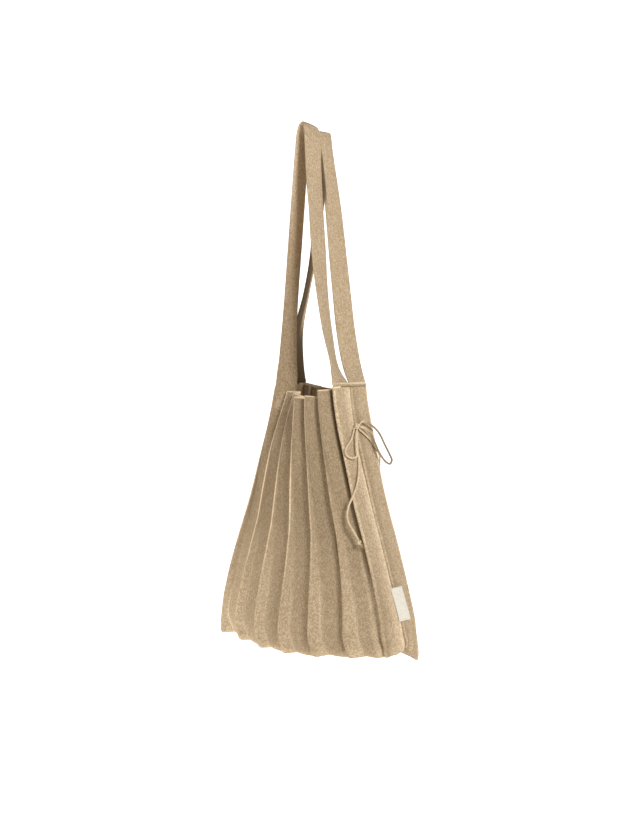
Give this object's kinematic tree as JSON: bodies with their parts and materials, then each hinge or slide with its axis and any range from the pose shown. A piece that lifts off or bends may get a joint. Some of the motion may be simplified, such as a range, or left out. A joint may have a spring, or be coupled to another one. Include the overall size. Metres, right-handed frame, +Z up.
{
  "type": "pleated knit shoulder bag",
  "caption": "Fan-shaped knit shoulder bag in knife pleats, hung from flat knit straps, with a tie cord and a blank label on its side.",
  "frame": {"origin": "hang point on the underside of the two straps, where a hook or a shoulder holds them", "axes": "+Z up, +X to the right across the bag's width, front towards -Y"},
  "size_m": [0.2686, 0.1066, 0.5535],
  "materials": {
    "knit": "matt fine knit in heathered beige yarn",
    "strap_knit": "matt fine knit band in heathered beige yarn",
    "label_cloth": "blank cream woven label",
    "cord_yarn": "twisted pale tan cord"
  },
  "bodies": {
    "root": {"bag_body": "knit", "strap_front": "strap_knit", "strap_back": "strap_knit", "label": "label_cloth", "tie_knot": "cord_yarn", "tie_loop_right": "cord_yarn", "tie_loop_left": "cord_yarn", "tie_tail_front": "cord_yarn", "tie_tail_back": "cord_yarn", "tie_end_front": "cord_yarn", "tie_end_back": "cord_yarn"}
  },
  "joints": []
}
